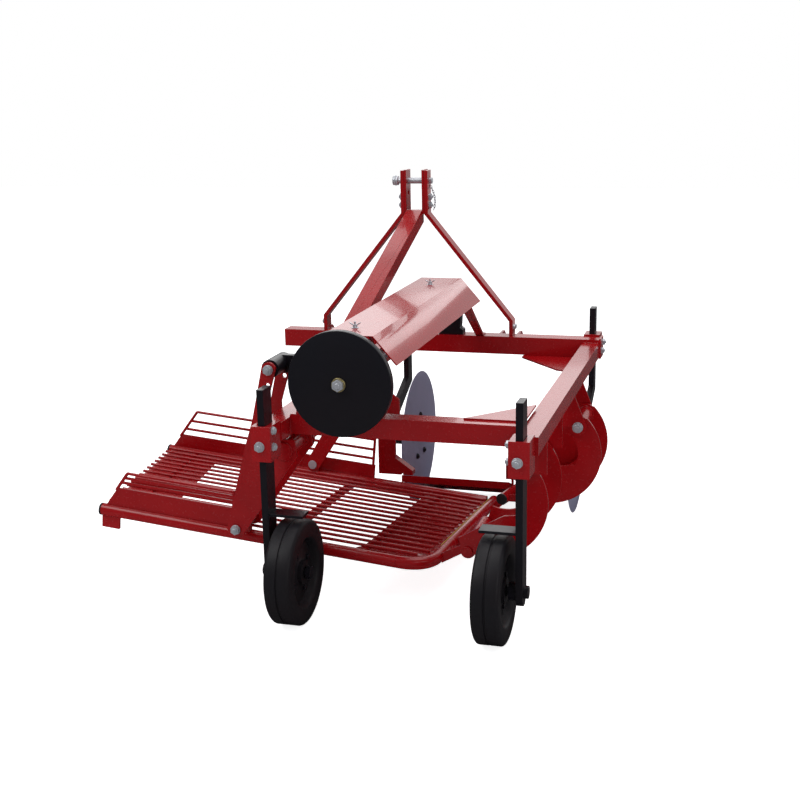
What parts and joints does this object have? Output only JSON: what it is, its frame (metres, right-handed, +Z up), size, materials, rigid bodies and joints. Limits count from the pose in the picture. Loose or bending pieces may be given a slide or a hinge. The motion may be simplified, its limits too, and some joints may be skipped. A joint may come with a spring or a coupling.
{
  "type": "potato digger",
  "caption": "Mounted side-delivery potato digger with an oscillating sieve tray on rocking arms, a share, disc coulters, depth wheels, a mast and a shaft-driven flywheel.",
  "frame": {"origin": "centre of the machine's footprint box, on the ground", "axes": "+X to the machine's right, +Y forward towards the tractor, +Z up"},
  "size_m": [1.5592, 1.636, 1.193],
  "materials": {
    "red_paint": "gloss",
    "black_paint": "satin",
    "wheel_rubber": "matt",
    "disc_steel": "rolled",
    "shaft_steel": "turned",
    "zinc": "zinc plated"
  },
  "bodies": {
    "frame": {"left_side_bar": "red_paint", "right_side_bar": "red_paint", "rear_crossbar": "red_paint", "front_crossbar": "red_paint", "mast": "red_paint", "left_mast_stay": "red_paint", "right_mast_stay": "red_paint", "top_link_pin": "zinc", "left_lower_hitch": "red_paint", "right_lower_hitch": "red_paint", "left_post_clamp": "red_paint", "right_post_clamp": "red_paint", "left_wheel_post": "black_paint", "right_wheel_post": "black_paint", "left_coulter_clamp": "red_paint", "right_coulter_clamp": "red_paint", "left_coulter_shank": "black_paint", "right_coulter_shank": "black_paint", "rear_bearing": "black_paint", "front_bearing": "black_paint", "shaft_cover": "red_paint", "right_rear_pivot_bolt": "zinc", "right_front_pivot_bolt": "zinc", "share_plate": "red_paint", "share_blade": "disc_steel", "left_share_leg": "red_paint", "right_share_leg": "red_paint"},
    "left_wheel": {"left_wheel": "wheel_rubber"},
    "right_wheel": {"right_wheel": "wheel_rubber"},
    "left_coulter": {"left_coulter_disc": "disc_steel", "left_coulter_hub": "black_paint"},
    "right_coulter": {"right_coulter_disc": "disc_steel"},
    "drive": {"drive_shaft": "shaft_steel", "flywheel": "black_paint"},
    "left_rocker": {"left_rocker": "red_paint", "lever_top_pin": "zinc", "lever_lower_pin": "zinc", "front_arm_pin": "zinc"},
    "connecting_rod": {"connecting_rod": "black_paint"},
    "tray": {"tray_rear_beam": "red_paint", "tray_front_beam": "red_paint", "tray_rim": "red_paint", "tray_sieve": "red_paint", "tray_rear_fence": "red_paint", "tray_front_fence": "red_paint", "tray_side_rail": "red_paint"},
    "right_rear_rocker": {"right_rear_rocker": "red_paint", "right_rear_lower_pin": "red_paint"},
    "right_front_rocker": {"right_front_rocker": "red_paint", "right_front_lower_pin": "red_paint"}
  },
  "joints": [
    {"name": "left_wheel_spin", "type": "hinge", "parent": "frame", "child": "left_wheel", "pos_m": [-0.00038, -0.666, 0.152], "axis": [1, 0, 0], "continuous": true},
    {"name": "right_wheel_spin", "type": "hinge", "parent": "frame", "child": "right_wheel", "pos_m": [0.58362, -0.666, 0.152], "axis": [1, 0, 0], "continuous": true},
    {"name": "left_coulter_spin", "type": "hinge", "parent": "frame", "child": "left_coulter", "pos_m": [0.06062, 0.486, 0.24], "axis": [1, 0, 0], "continuous": true},
    {"name": "right_coulter_spin", "type": "hinge", "parent": "frame", "child": "right_coulter", "pos_m": [0.63962, 0.486, 0.24], "axis": [1, 0, 0], "continuous": true},
    {"name": "drive_spin", "type": "hinge", "parent": "frame", "child": "drive", "pos_m": [0.14362, -0.554, 0.702], "axis": [0, 1, 0], "continuous": true},
    {"name": "left_rocker_swing", "type": "hinge", "parent": "frame", "child": "left_rocker", "pos_m": [-0.05838, -0.554, 0.479], "axis": [0, 1, 0], "range_deg": [-2.9, 2.9]},
    {"name": "connecting_rod_swing", "type": "hinge", "parent": "left_rocker", "child": "connecting_rod", "pos_m": [-0.09238, -0.504, 0.717], "axis": [0, 1, 0], "range_deg": [-3, 3]},
    {"name": "tray_swing", "type": "hinge", "parent": "left_rocker", "child": "tray", "pos_m": [-0.21838, -0.504, 0.227], "axis": [0, 1, 0], "range_deg": [-3, 3]},
    {"name": "right_rear_rocker_swing", "type": "hinge", "parent": "frame", "child": "right_rear_rocker", "pos_m": [0.62162, -0.354, 0.43], "axis": [0, 1, 0], "range_deg": [-3, 3]},
    {"name": "right_front_rocker_swing", "type": "hinge", "parent": "frame", "child": "right_front_rocker", "pos_m": [0.70562, 0.146, 0.43], "axis": [0, 1, 0], "range_deg": [-3, 3]}
  ],
  "couplings": [
    {"joint": "connecting_rod_swing", "follows": "left_rocker_swing", "ratio": -1},
    {"joint": "tray_swing", "follows": "left_rocker_swing", "ratio": -1},
    {"joint": "right_rear_rocker_swing", "follows": "left_rocker_swing", "ratio": 1},
    {"joint": "right_front_rocker_swing", "follows": "left_rocker_swing", "ratio": 1}
  ]
}
